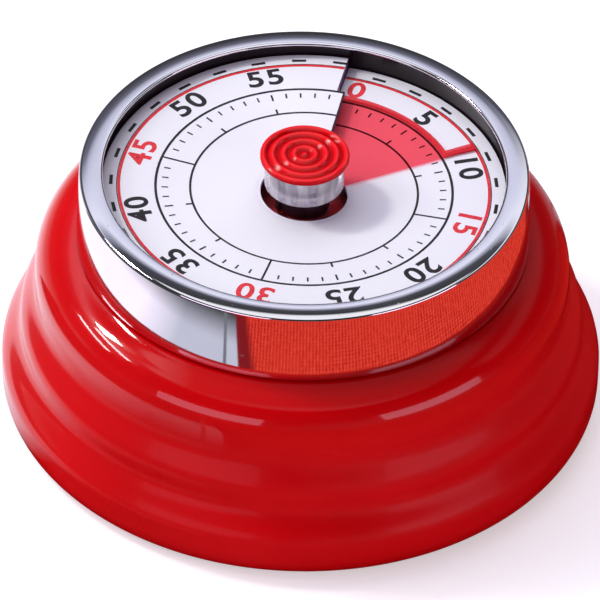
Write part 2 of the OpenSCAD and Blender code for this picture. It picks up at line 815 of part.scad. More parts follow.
module hammer_arbor() {
    reach = norm(hammer_p) - cam_r - free_gap;
    finger_w = 1.8;
    finger_tip_w = 0.8;
    color("slategray") at(hammer_p) {
        small_arbor();
        translate([0, 0, arm_z - run_gap]) cylinder(r = pivot_r, h = back_top - arm_z);
        translate([0, 0, cam_z]) linear_extrude(cam_h) rotate(direction(hammer_p, centre)) {
            circle(pin_r + finger_tip_w);
            polygon([[0, -finger_w], [reach, -finger_tip_w], [reach, finger_tip_w], [0, finger_w]] / 2);
        }
    }
}

module hammer() {
    p = hammer_head_p - hammer_p;
    color("darkgoldenrod") at(hammer_p) difference() {
        union() {
            translate([0, 0, arm_z]) linear_extrude(arm_h) {
                circle(arm_hub_r);
                rotate(direction(centre, p)) translate([0, -arm_w / 2]) square([norm(p), arm_w]);
                translate(p) circle(hammer_r);
            }
            at(p, bell_z0) cylinder(r = hammer_r, h = arm_z - bell_z0 + arm_h / 2);
        }
        translate([0, 0, arm_z - 1]) cylinder(r = pivot_r + seat_gap, h = arm_h + 2);
    }
}

// A wire coil round the hammer's arbor, its leg against a pillar; it presses the hammer to the bell
coil_wire_r = 0.2;
coil_turns = 4;
module hammer_spring() {
    coil_r = pin_r + free_gap + coil_wire_r;
    coil_z = back_top + 1;
    rise = 2 * coil_wire_r + 0.1;
    pillar_p = polar(pillar_ring_r, pillar_angles[2]);
    leg_a = direction(hammer_p, pillar_p);
    leg_l = norm(pillar_p - hammer_p) - pillar_r - run_gap;
    color("steelblue") at(hammer_p, coil_z) {
        spiral([for (a = [90 - leg_a:30:90 - leg_a + coil_turns * turn]) a], function(a)
            [for (k = [0:5]) let(b = k * turn / 6)
                [coil_r + coil_wire_r * cos(b), rise * (a - 90 + leg_a) / turn + coil_wire_r * sin(b)]]);
        rotate(leg_a) translate([coil_r - 0.1, 0, 0]) rotate([0, 90, 0])
            cylinder(r = coil_wire_r, h = leg_l - coil_r + 0.1);
    }
}

// ---------------------------------------------------------------- back

cover_r = foot_in_r - 2 * run_gap;
cover_top = cover_recess + cover_t;
head_seat_z = cover_recess + run_gap + cover_head_h;
module back_cover() {
    lap_z = shell_t + run_gap;
    lap_w = 1;
    boss_t = 0.8;
    boss_w = 1.2;
    color("#222222") difference() {
        union() {
            translate([0, 0, cover_recess]) cylinder(r = cover_r, h = cover_t);
            // The flange laps over the rolled foot from inside
            translate([0, 0, lap_z]) cylinder(r = cover_r + lap_w, h = cover_top - lap_z);
            translate([0, 0, cover_recess])
                cylinder(r = magnet_r + boss_w, h = magnet_t - cover_recess + boss_t);
        }
        translate([0, 0, -1]) cylinder(r = magnet_r + seat_gap, h = magnet_t + 1);
        for (a = post_angles) at(polar(post_ring_r, a), -1) {
            cylinder(r = screw_r + run_gap, h = cover_top + 2);
            cylinder(r = screw_head_r + 2 * run_gap, h = 1 + head_seat_z);
        }
    }
}

cover_bore_h = 3;
module cover_posts() {
    post_r = 1.5;
    stud_z = cover_top + cover_bore_h + 1;
    color("silver") for (a = post_angles) at(polar(post_ring_r, a)) difference() {
        union() {
            translate([0, 0, cover_top]) cylinder(r = post_r, h = back_z - cover_top);
            translate([0, 0, stud_z]) cylinder(r = screw_r, h = back_top - stud_z);
        }
        translate([0, 0, cover_top - 1]) cylinder(r = screw_r + seat_gap, h = 1 + cover_bore_h);
    }
}

module cover_screws() {
    color("silver") for (a = post_angles) at(polar(post_ring_r, a), head_seat_z)
        slotted_screw(screw_r, screw_head_r, cover_head_h, cover_top - head_seat_z + 0.75 * cover_bore_h);
}

module magnet() {
    color("#333333") cylinder(r = magnet_r, h = magnet_t);
}

body_shell();
chrome_ring();
dial();
time_disc();
knob_cap();
knob_stem();
drive_hub();
stem_washer();
main_arbor();
arbor_clip();
great_wheel();
clutch_spring();
trip_cam();
mainspring();
front_plate();
back_plate();
pillars();
plate_nuts();
deck_screws();
second_wheel();
second_arbor();
third_wheel();
third_arbor();
escape_wheel();
escape_arbor();
pallet_lever();
balance_wheel();
balance_arbor();
alarm_wheel();
alarm_arbor();
hammer();
hammer_arbor();
hammer_spring();
bell();
bell_post();
bell_screw();
back_cover();
cover_posts();
cover_screws();
magnet();
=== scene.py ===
import json
import math

import bpy
from mathutils import Matrix, Vector


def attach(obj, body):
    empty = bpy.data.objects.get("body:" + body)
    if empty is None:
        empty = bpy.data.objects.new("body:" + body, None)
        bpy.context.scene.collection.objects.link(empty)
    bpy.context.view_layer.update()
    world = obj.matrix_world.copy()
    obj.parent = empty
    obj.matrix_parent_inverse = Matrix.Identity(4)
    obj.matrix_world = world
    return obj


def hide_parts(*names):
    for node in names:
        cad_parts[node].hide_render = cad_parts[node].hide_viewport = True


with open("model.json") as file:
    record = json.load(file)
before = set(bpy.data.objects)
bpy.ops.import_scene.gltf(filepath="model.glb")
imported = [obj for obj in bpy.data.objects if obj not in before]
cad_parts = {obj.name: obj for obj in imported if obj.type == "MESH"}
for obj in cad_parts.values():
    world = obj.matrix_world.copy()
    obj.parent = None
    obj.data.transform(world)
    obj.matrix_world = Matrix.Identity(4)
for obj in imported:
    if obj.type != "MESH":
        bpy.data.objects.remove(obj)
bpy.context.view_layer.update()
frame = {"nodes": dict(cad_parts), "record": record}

MM = 0.001
TURN = 360.0

# Distances in metres within which points count as one
MERGE = 0.0000005
FINE_MERGE = 0.0000001

# Sizes in millimetres, as the solids have them. Body:
BASE_R = 35.0
RIB_R = 32.8
NECK_RIB_R = 31.1
BODY_H = 22.4
SHOULDER_R = 4.9
FOOT_EDGE_R = 2.3
UPPER_STEP_Z = 15.0
LOWER_STEP_Z = 9.2
STEP_H = 4.5
SHEET_T = 0.8
NECK_R = 25.7
FLANGE_R = 18.6
DECK_Z = 27.05
# Chrome ring:
RING_R = 26.3
RING_Z = 22.65
RING_TOP = 31.75
RING_IN_R = 23.55
RING_T = 0.5
# Dial, with the tongue of its high end that covers its low end:
DIAL_Z = 28.6
DIAL_RISE = 1.4
DIAL_T = 0.35
DIAL_R = 23.4
HOLE_R = 5.02
DISH = 0.8
RIM_START = -3.4
RIM_END = 356.3
TONGUE_R = 17.3
TONGUE_TIP_R = 10.3
SLANT_A = 359.4
TIP_A = 361.9
# Red disc:
DISC_R = 17.9
DISC_IN_R = 3.1
DISC_T = 0.25
DISC_GAP = 0.1
POINTER_R = 21.4
POINTER_W = 0.9
LEAD_A = 52.8
KEY_R = 3.4
KEY_HALF_A = 8.8
# Knob:
KNOB_TOP = 34.5
CAP_R = 5.17
CAP_T = 0.5
RIDGE_H = 0.3
STEM_R = 4.62
STEM_Z = 30.4
ARBOR_R = 1.8
CAP_Z = KNOB_TOP - RIDGE_H - CAP_T
BORE_R = ARBOR_R + 0.02
# Print on the dial, as heights above its face, radii and widths:
PRINT_LOW = 0.003
PRINT_HIGH = 0.018
PRINT_T = PRINT_HIGH - PRINT_LOW
OUTER_CIRCLE_R = 17.15
INNER_CIRCLE_R = 13.15
RIM_CIRCLE_R = 21.64
RED_CIRCLE_R = 21.4
NUMBER_R = 19.45
NUMBER_H = 2.8
DIGIT_SHARE = 0.73
THIN = 0.2
THICK = 0.24
DASHES = 29


# ---------------------------------------------------------------- by hand

def deselect():
    if bpy.context.object and bpy.context.object.mode != "OBJECT":
        bpy.ops.object.mode_set(mode="OBJECT")
    bpy.ops.object.select_all(action="DESELECT")


def edit():
    bpy.ops.object.mode_set(mode="EDIT")


def leave():
    bpy.ops.object.mode_set(mode="OBJECT")


def pick(piece):
    deselect()
    piece.select_set(True)
    bpy.context.view_layer.objects.active = piece


def edit_all():
    edit()
    bpy.ops.mesh.select_all(action="SELECT")


def choose_none(piece):
    """Leaves edit mode with nothing of the piece selected."""
    leave()
    for group in (piece.data.vertices, piece.data.edges, piece.data.polygons):
        for item in group:
            item.select = False


def choose_faces(piece, wanted):
    """Edits the piece with only the faces selected for which wanted(centre, normal) holds."""
    choose_none(piece)
    for face in piece.data.polygons:
        face.select = wanted(face.center / MM, face.normal)
    edit()
    bpy.ops.mesh.select_mode(type="FACE")


def choose_points(piece, wanted):
    """Edits the piece with only the points selected for which wanted(place) holds."""
    choose_none(piece)
    for point in piece.data.vertices:
        point.select = wanted(point.co / MM)
    edit()
    bpy.ops.mesh.select_mode(type="VERT")


def settle(piece):
    """Puts the piece's place, turn and size into its mesh."""
    pick(piece)
    bpy.ops.object.transform_apply(location=True, rotation=True, scale=True)


def finish_piece(piece, name, angle=30):
    """Closes up a shape: doubles merged, normals outwards, its place in its mesh, smooth but for its edges."""
    if bpy.context.object.mode != "EDIT":
        pick(piece)
        edit()
    bpy.ops.mesh.select_all(action="SELECT")
    bpy.ops.mesh.remove_doubles(threshold=MERGE)
    bpy.ops.mesh.normals_make_consistent(inside=False)
    leave()
    settle(piece)
    bpy.ops.object.shade_smooth_by_angle(angle=math.radians(angle))
    piece.name = name
    piece.data.name = name
    return piece


def turned(name, outline, around=192, angle=30, centre_end=False):
    """Extrudes a circle along an outline of (radius, height) points; a closed outline ends where it begins."""
    deselect()
    r, z = outline[0]
    bpy.ops.mesh.primitive_circle_add(vertices=around, radius=r * MM, fill_type="NOTHING")
    piece = bpy.context.object
    edit_all()
    bpy.ops.transform.translate(value=(0, 0, z * MM))
    for next_r, next_z in outline[1:]:
        bpy.ops.mesh.extrude_region_move(TRANSFORM_OT_translate={"value": (0, 0, (next_z - z) * MM)})
        if next_r != r:
            k = next_r / r
            bpy.ops.transform.resize(value=(k, k, 1), center_override=(0, 0, next_z * MM))
        r, z = next_r, next_z
    if centre_end:
        bpy.ops.mesh.merge(type="CENTER")
    return finish_piece(piece, name, angle)


def arc(centre, r, a0, a1, steps):
    """Points of a round corner in the plane of an outline."""
    return [(centre[0] + r * math.cos(math.radians(a0 + (a1 - a0) * i / steps)),
             centre[1] + r * math.sin(math.radians(a0 + (a1 - a0) * i / steps))) for i in range(steps + 1)]


def ramp_z(a):
    """Height of the spiral dial's top at dial angle a, counted clockwise from the 0 mark."""
    return DIAL_Z + DIAL_RISE * a / TURN


def dip(r):
    """How far the dished dial lies below its rim at radius r."""
    return DISH * max(0.0, (FLANGE_R - r) / (FLANGE_R - HOLE_R))


def sunk(section):
    """Lets a section follow the dish."""
    return [(r, h - dip(r)) for r, h in section]


def swept(name, section, start, end, step=1.5, angle=30):
    """Draws a section of (radius, height above the ramp) points at one dial angle and screws it up the ramp."""
    deselect()
    bpy.ops.mesh.primitive_plane_add(size=MM)
    piece = bpy.context.object
    edit_all()
    bpy.ops.mesh.merge(type="CENTER")
    r, h = section[0]
    z0 = ramp_z(start)
    bpy.ops.transform.translate(value=(0, r * MM, (z0 + h) * MM))
    for next_r, next_h in section[1:] + section[:1]:
        bpy.ops.mesh.extrude_region_move(
            TRANSFORM_OT_translate={"value": (0, (next_r - r) * MM, (next_h - h) * MM)})
        r, h = next_r, next_h
    bpy.ops.mesh.select_all(action="SELECT")
    bpy.ops.mesh.remove_doubles(threshold=FINE_MERGE)
    bpy.ops.transform.rotate(value=math.radians(start), orient_axis="Z", center_override=(0, 0, 0))
    leave()
    screw = piece.modifiers.new("climb", "SCREW")
    screw.angle = -math.radians(end - start)
    screw.screw_offset = DIAL_RISE * (end - start) / TURN * MM
    screw.steps = screw.render_steps = max(2, round((end - start) / step))
    screw.use_merge_vertices = False
    pick(piece)
    bpy.ops.object.modifier_apply(modifier="climb")
    edit_all()
    bpy.ops.mesh.fill_holes(sides=0)
    return finish_piece(piece, name, angle)


def along_ramp(piece, minutes, count):
    """Repeats a piece up the ramp, every so many minutes."""
    guide = bpy.data.objects.new("guide", None)
    bpy.context.scene.collection.objects.link(guide)
    guide.matrix_world = (Matrix.Translation((0, 0, DIAL_RISE * minutes / 60 * MM))
                          @ Matrix.Rotation(-math.radians(6 * minutes), 4, "Z"))
    bpy.context.view_layer.update()
    pick(piece)
    row = piece.modifiers.new("row", "ARRAY")
    row.count = count
    row.use_relative_offset = False
    row.use_object_offset = True
    row.offset_object = guide
    bpy.ops.object.modifier_apply(modifier="row")
    bpy.data.objects.remove(guide)
    return piece


def join(pieces, name):
    """Makes one piece of several, in the place of the first."""
    pick(pieces[0])
    for piece in pieces[1:]:
        piece.select_set(True)
    if len(pieces) > 1:
        bpy.ops.object.join()
    pieces[0].name = name
    pieces[0].data.name = name
    return pieces[0]


def dressed(piece, finish, body, slot, *nodes):
    """Gives a piece its finish and its body, and lets it stand for CAD nodes; the slot is not used."""
    piece.data.materials.clear()
    piece.data.materials.append(finish)
    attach(piece, body)
    if nodes:
        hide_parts(*nodes)
    return piece


# ---------------------------------------------------------------- shader expressions

class Value:
    """A shader socket that takes part in sums."""

    def __init__(self, finish, socket):
        self.finish = finish
        self.socket = socket

    def out(self, name):
        return Value(self.finish, self.socket.node.outputs[name])

    def maths(self, operation, *values):
        return self.finish.node("Math", {"operation": operation}, dict(enumerate(values)))

    def __add__(self, other):
        return self.maths("ADD", self, other)

    def __sub__(self, other):
        return self.maths("SUBTRACT", self, other)

    def __rsub__(self, other):
        return self.maths("SUBTRACT", other, self)

    def __mul__(self, other):
        return self.maths("MULTIPLY", self, other)

    def __pow__(self, other):
        return self.maths("POWER", self, other)

    def __lt__(self, other):
        return self.maths("LESS_THAN", self, other)

    def __gt__(self, other):
        return self.maths("GREATER_THAN", self, other)


class Finish:
    """A material that is built node by node."""

    def __init__(self, name, tree=None):
        if tree is None:
            self.material = bpy.data.materials.new(name)
            self.material.use_nodes = True
            tree = self.material.node_tree
        self.tree = tree
        self.tree.nodes.clear()

    def node(self, kind, settings=None, inputs=None, output=0):
        """Adds a node, sets it, fills or links its sockets, and gives one of its outputs."""
        node = self.tree.nodes.new("ShaderNode" + kind)
        for name, value in (settings or {}).items():
            if name == "stops":
                elements = node.color_ramp.elements
                elements[0].position, elements[0].color = value[0]
                elements[1].position, elements[1].color = value[-1]
                for place, colour in value[1:-1]:
                    elements.new(place).color = colour
            else:
                setattr(node, name, value)
        for name, value in (inputs or {}).items():
            if isinstance(value, Value):
                self.tree.links.new(value.socket, node.inputs[name])
            else:
                node.inputs[name].default_value = value
        return Value(self, node.outputs[output]) if node.outputs else None

    def place(self):
        return self.node("TexCoord", output="Object")

    def height_radius(self):
        """The height and the distance from the spindle of each point, in millimetres."""
        parts = self.node("SeparateXYZ", {}, {0: self.place()})
        x, y, z = parts.out("X"), parts.out("Y"), parts.out("Z")
        return z * 1000, (x * x + y * y) ** 0.5 * 1000

    def noise(self, scale, detail=3.0, roughness=0.5, where=None):
        return self.node("TexNoise", {}, {"Vector": where or self.place(), "Scale": scale, "Detail": detail,
                                          "Roughness": roughness})

    def between(self, value, low, high, out_low=0.0, out_high=1.0):
        return self.node("MapRange", {}, {0: value, 1: low, 2: high, 3: out_low, 4: out_high})

    def mix(self, share, below, above):
        return self.node("Mix", {"data_type": "RGBA"}, {0: share, 6: below, 7: above}, output=2)

    def vary(self, pattern, low, high, start=0.3, end=0.7):
        """A number or a colour that goes from low to high with a pattern."""
        if isinstance(low, tuple):
            return self.mix(self.between(pattern, start, end), low, high)
        return self.between(pattern, start, end, low, high)

    def bump(self, height, strength, distance):
        return self.node("Bump", {}, {"Height": height, "Strength": strength, "Distance": distance})

    def surface(self, **sockets):
        names = {"colour": "Base Color", "metal": "Metallic", "rough": "Roughness", "ior": "IOR", "normal": "Normal",
                 "specular": "Specular IOR Level", "coat": "Coat Weight", "coat_rough": "Coat Roughness",
                 "coat_ior": "Coat IOR", "clear": "Transmission Weight"}
        return self.node("BsdfPrincipled", {}, {names[k]: v for k, v in sockets.items()})

    def done(self, shader):
        self.node("OutputMaterial", {}, {"Surface": shader})
        return self.material


def shade(r, g, b):
    """A colour written as 0 to 255, as it looks, turned into light."""
    return (*(((c / 255 + 0.055) / 1.055) ** 2.4 if c > 10 else c / 255 / 12.92 for c in (r, g, b)), 1.0)


def enamel():
    """Fired enamel: deep red with faint orange peel and a few darker specks, with painted shade that darkens it
    towards the foot; its gloss is dull on the front ribs.
    """
    f = Finish("red_enamel")
    z, _ = f.height_radius()
    clouds = f.noise(55, 3.0)
    colour = f.vary(clouds, (0.53, 0.0, 0.0015, 1), (0.60, 0.0004, 0.003, 1))
    # Painted shade: the enamel darkens over its lowest 3 mm, where the foot turns under.
    colour = f.mix(f.between(z, 3.0, 0.3), colour, (0.38, 0.0, 0.001, 1))
    specks = f.between(f.noise(2600, 1.0), 0.68, 0.75)
    colour = f.mix(specks * 0.25, colour, (0.30, 0.0, 0.0, 1))
    rough = f.vary(clouds, 0.15, 0.19) + f.between(z, 18.5, 15.5, 0.0, 0.12)
    normal = f.bump(f.noise(420, 2.0), 0.08, 0.0002)
    parts = f.node("SeparateXYZ", {}, {0: f.place()})
    across = (parts.out("X") * RIGHT.x + parts.out("Y") * RIGHT.y) * 1000
    shoulder = f.between(z, 15.5, 18.5, 0.07, 1.0)
    neck = f.between(z, 20.4, 21.4, 1.0, 0.03)
    neck = neck.maths("MAXIMUM", neck, f.between(across, -12, -16))
    gloss = shoulder * neck
    gloss = gloss.maths("MAXIMUM", gloss, f.between(across, -24, -33)) * f.between(across, 19, 24, 1.0, 0.25)
    return f.done(f.surface(colour=colour, rough=rough, normal=normal, specular=0.1, coat=gloss, coat_rough=0.03,
                            coat_ior=1.5))


def chrome():
    """Bright chrome plate with a trace of polishing lines that run round it, and dark lacquer inside the ring."""
    f = Finish("chrome_plate")
    z, r = f.height_radius()
    lines = f.noise(9.0, 3.0, where=f.node("CombineXYZ", {}, {0: r * 0.9, 1: z * 0.9, 2: 0.0}))
    clouds = f.noise(130, 3.0)
    specks = f.between(f.noise(1700, 1.0), 0.70, 0.78)
    rough = f.vary(clouds, 0.03, 0.06, end=0.75) + f.vary(lines, 0.0, 0.02) + specks * 0.12
    colour = f.vary(clouds, shade(236, 236, 246), shade(244, 244, 252))
    lacquer = (r < RING_IN_R + 0.03) * (z < RING_TOP - 0.32)
    colour = f.mix(lacquer, colour, f.vary(clouds, shade(18, 9, 15), shade(32, 18, 26)))
    rough = rough + lacquer * 0.12
    normal = f.bump(lines, 0.01, 0.00004)
    return f.done(f.surface(colour=colour, metal=1 - lacquer, rough=rough, normal=normal, specular=0.2))


def dial_white():
    """Moulded white plastic with a fine grain, and painted shade that greys it a little round its hole, under the
    knob.
    """
    f = Finish("dial_white")
    _, r = f.height_radius()
    grain = f.noise(2200, 2.0)
    clouds = f.noise(70, 2.0)
    colour = f.vary(clouds, shade(239, 240, 246), shade(244, 246, 250))
    # Painted shade: a lavender grey round the hole, under the knob.
    colour = f.mix(f.between(r, 5.1, 6.0, 1.0, 0.0) * 0.3, colour, shade(205, 200, 222))
    rough = f.vary(clouds, 0.34, 0.42)
    normal = f.bump(grain, 0.08, 0.00005)
    return f.done(f.surface(colour=colour, rough=rough, normal=normal))


def dial_edge():
    """The sawn end faces at the step: the same plastic, with painted shade that makes them dark purple."""
    f = Finish("dial_edge")
    grain = f.noise(1400, 3.0)
    colour = f.vary(grain, shade(70, 46, 84), shade(116, 92, 134))
    return f.done(f.surface(colour=colour, rough=f.vary(grain, 0.5, 0.7), normal=f.bump(grain, 0.2, 0.00004)))


def ink(name, tone):
    """Screen-printed ink, matt, with slightly uneven cover."""
    f = Finish(name)
    cover = f.noise(2600, 3.0)
    lighter = tuple(min(1.0, c * 1.6 + 0.012) for c in tone[:3]) + (1.0,)
    colour = f.vary(cover, tone, lighter, 0.35, 0.75)
    return f.done(f.surface(colour=colour, rough=f.vary(cover, 0.45, 0.6), normal=f.bump(cover, 0.1, 0.00003)))


def disc_film():
    """Thin clear red film: the print beneath shows through it; its edge, past the circle, is printed solid."""
    f = Finish("red_film")
    _, r = f.height_radius()
    clouds = f.noise(60, 2.0)
    band = f.between(r, 17.28, 17.36)
    colour = f.vary(clouds, shade(250, 70, 84), shade(254, 84, 96))
    colour = f.mix(band, colour, shade(236, 26, 44))
    grain = f.noise(2600, 2.0)
    film = f.surface(colour=colour, rough=f.vary(clouds, 0.3, 0.4), normal=f.bump(grain, 0.06, 0.00004))
    through = f.node("BsdfTransparent", {}, {"Color": (1.0, 0.585, 0.625, 1.0)})
    share = f.vary(clouds, 0.015, 0.035) + band * 0.55
    return f.done(f.node("MixShader", {}, {0: share, 1: through, 2: film}))


def knob_red():
    """Gloss moulded plastic, with painted shade that darkens it between its ridges and a painted highlight that
    lightens their crests, and a soft flow pattern.
    """
    f = Finish("knob_red")
    clouds = f.noise(160, 3.0)
    z, _ = f.height_radius()
    # Painted shade and highlight: the crests are coloured lighter and the hollows darker than the plastic is.
    crest = f.between(z, KNOB_TOP - RIDGE_H - 0.04, KNOB_TOP - 0.03)
    groove_painted_shade = f.vary(clouds, shade(176, 0, 6), shade(192, 2, 10))
    colour = f.mix(crest, groove_painted_shade, f.vary(clouds, shade(240, 16, 28), shade(248, 22, 36)))
    rough = f.vary(clouds, 0.12, 0.2)
    normal = f.bump(f.noise(900, 2.0), 0.05, 0.0001)
    return f.done(f.surface(colour=colour, rough=rough, normal=normal, specular=0.05,
                            coat=f.between(crest, 0, 1, 0.15, 0.8), coat_rough=0.03))


def clear_plastic():
    """Water-clear moulded plastic with moulding lines up its side, mixed with a cloudy white coat whose lavender to
    white streaks are painted reflection.
    """
    f = Finish("clear_plastic")
    clouds = f.noise(300, 3.0)
    stretch = f.node("Mapping", {}, {"Vector": f.place(), "Scale": (1.0, 1.0, 0.15)})
    lines = f.noise(900, 2.0, where=stretch)
    normal = f.bump(lines, 0.25, 0.0001)
    glass = f.surface(colour=f.vary(clouds, shade(246, 244, 250), shade(252, 250, 253)),
                      rough=f.vary(clouds, 0.01, 0.04), ior=1.2, clear=1.0, normal=normal)
    # Painted reflection: this cloudy white share, streaked lavender to white along the moulding lines, stands for
    # the bright bands the clear stem mirrors.
    milk_painted_reflection = f.surface(colour=f.vary(lines, shade(226, 220, 240), shade(254, 252, 255), 0.35, 0.65),
                     rough=0.2, coat=1.0, coat_rough=0.02, normal=normal)
    return f.done(f.node("MixShader", {}, {0: f.vary(lines, 0.28, 0.44, 0.35, 0.65), 1: glass, 2: milk_painted_reflection}))


def metal(name, tone, rough_low, rough_high, turned_lines=False):
    """Plain or ground metal with a worked grain and a little uneven tarnish."""
    f = Finish(name)
    z, r = f.height_radius()
    clouds = f.noise(180, 4.0)
    grain = f.noise(700, 3.0)
    if turned_lines:
        grain = f.noise(6.0, 4.0, where=f.node("CombineXYZ", {}, {0: r, 1: 0.0, 2: z}))
    darker = tuple(c * 0.72 for c in tone[:3]) + (1.0,)
    colour = f.vary(clouds, darker, tone, start=0.35)
    rough = f.vary(grain, rough_low, rough_high)
    return f.done(f.surface(colour=colour, metal=1.0, rough=rough, normal=f.bump(grain, 0.15, 0.00006)))


def black_plastic():
    """Black moulded plastic with an eroded grain."""
    f = Finish("black_plastic")
    grain = f.noise(1500, 4.0, 0.6)
    clouds = f.noise(90, 2.0)
    colour = f.vary(clouds, shade(30, 29, 31), shade(40, 38, 41))
    return f.done(f.surface(colour=colour, rough=f.vary(grain, 0.42, 0.62), normal=f.bump(grain, 0.35, 0.00012)))


def ferrite():
    """Sintered magnet: dark grey, with pores and worn edges."""
    f = Finish("ferrite")
    grain = f.noise(900, 5.0, 0.65)
    pores = f.between(f.noise(1900, 2.0), 0.66, 0.72)
    colour = f.mix(pores, f.vary(grain, shade(46, 46, 50), shade(66, 66, 70)), shade(18, 18, 20))
    return f.done(f.surface(colour=colour, metal=0.4, rough=f.vary(grain, 0.5, 0.7),
                            normal=f.bump(grain - pores * 0.5, 0.3, 0.0001)))


# ---------------------------------------------------------------- camera

# The view, in degrees, pixels, and metres from the timer's foot
VIEW_A = math.radians(15.7)
VIEW_RISE = 40.8
VIEW_LEAN = 0.0222
VIEW_DISTANCE = 1.0
AIM_HEIGHT = 0.01211
AIM_LEFT = 0.000187
FOCAL_PIXELS = 8570
PICTURE_PIXELS = 600
SENSOR = 36
RIGHT = Vector((math.cos(VIEW_A), math.sin(VIEW_A), 0))
AWAY = Vector((-math.sin(VIEW_A), math.cos(VIEW_A), 0))


def toward(azimuth, rise, distance):
    """A place in the studio: degrees clockwise from straight behind the timer, and degrees above the table."""
    a, e = math.radians(azimuth), math.radians(rise)
    level = RIGHT * math.sin(a) + AWAY * math.cos(a)
    return level * math.cos(e) * distance + Vector((0, 0, math.sin(e) * distance))


def camera():
    back = toward(180, VIEW_RISE, VIEW_DISTANCE)
    up = back.cross(RIGHT)
    aim = Vector((0, 0, AIM_HEIGHT)) - RIGHT * AIM_LEFT
    x = RIGHT * math.cos(VIEW_LEAN) + up * math.sin(VIEW_LEAN)
    y = up * math.cos(VIEW_LEAN) - RIGHT * math.sin(VIEW_LEAN)
    data = bpy.data.cameras.new("camera")
    data.sensor_width = SENSOR
    data.lens = FOCAL_PIXELS / PICTURE_PIXELS * SENSOR
    data.clip_start = 0.05
    data.clip_end = 20
    holder = bpy.data.objects.new("camera", data)
    holder.matrix_world = Matrix.Translation(aim + back) @ Matrix((x, y, back)).transposed().to_4x4()
    bpy.context.scene.collection.objects.link(holder)
    bpy.context.scene.camera = holder


# ---------------------------------------------------------------- body and ring

def ease(t):
    """A smooth step from 0 to 1."""
    u = max(0.0, min(1.0, t))
    return u * u * (3 - 2 * u)


def skin(z, inset=0.0):
    """A point of the body's ribbed wall."""
    return (NECK_RIB_R + (RIB_R - NECK_RIB_R) * ease((UPPER_STEP_Z - z) / STEP_H)
            + (BASE_R - RIB_R) * ease((LOWER_STEP_Z - z) / STEP_H) - inset, z)


def body():
    """The pressed steel body: rolled foot, ribs, rounded shoulder, neck and flange, and the same again inside."""
    foot_in_r = BASE_R - SHEET_T - FOOT_EDGE_R
    foot_c = (BASE_R - FOOT_EDGE_R, FOOT_EDGE_R)
    shoulder_c = (NECK_RIB_R - SHOULDER_R, BODY_H - SHOULDER_R)
    flange_z = DECK_Z - SHEET_T
    heights = [FOOT_EDGE_R + (shoulder_c[1] - FOOT_EDGE_R) * i / 36 for i in range(1, 36)]
    outline = [(foot_in_r, 0.0)] + arc(foot_c, FOOT_EDGE_R, -90, 0, 10) + [skin(z) for z in heights]
    outline += arc(shoulder_c, SHOULDER_R, 0, 90, 18)
    outline += [(NECK_R, BODY_H), (NECK_R, DECK_Z), (FLANGE_R, DECK_Z), (FLANGE_R, flange_z),
                (NECK_R - SHEET_T, flange_z), (NECK_R - SHEET_T, BODY_H - SHEET_T)]
    outline += arc(shoulder_c, SHOULDER_R - SHEET_T, 86, 0, 8)
    outline += [skin(z, SHEET_T) for z in reversed(heights[::3])]
    outline += arc(foot_c, FOOT_EDGE_R - SHEET_T, 0, -90, 6)
    outline += [(foot_in_r, SHEET_T), (foot_in_r, 0.0)]
    return turned("enamel_body", outline, 224)


def ring():
    """The bezel: its top falls away outwards more and more, its corner is tight, and its wall leans a little."""
    top_r = RING_R - 0.3
    edge = 0.45
    fall = 0.13
    lip = 0.3
    lip_in = RING_IN_R - 0.3
    flat_in, flat_out = lip_in + lip, top_r - edge
    edge_c = (top_r - edge, RING_TOP - fall - edge)
    outline = [(RING_R - RING_T, RING_Z), (RING_R - 0.12, RING_Z), (RING_R, RING_Z + 0.12),
               (RING_R - 0.02, RING_Z + 1.2)]
    outline += arc(edge_c, edge, 2, 82, 12)
    outline += [(flat_out + (flat_in - flat_out) * t, RING_TOP - fall * (1 - t) ** 3)
                for t in (0.08, 0.16, 0.26, 0.38, 0.5, 0.65, 0.8)]
    outline += arc((flat_in, RING_TOP - lip), lip, 90, 190, 10)
    skirt_r = RING_IN_R + RING_T * 0.8
    outline += [(RING_IN_R, RING_TOP - 1.1), (RING_IN_R, DIAL_Z - DIAL_T), (skirt_r, DIAL_Z - DIAL_T),
                (skirt_r, RING_TOP - RING_T - fall)]
    outline += arc(edge_c, 0.1, 90, 10, 4)
    outline += [outline[0]]
    return turned("ring_bezel", outline, 256, 40)


# ---------------------------------------------------------------- dial, print and disc

def cut_away(piece, point, normal):
    """Saws off what lies beyond a plane and closes the cut."""
    pick(piece)
    edit_all()
    bpy.ops.mesh.bisect(plane_co=Vector(point) * MM, plane_no=Vector(normal).normalized(), use_fill=True,
                        clear_outer=True, threshold=FINE_MERGE)
    leave()
    return piece


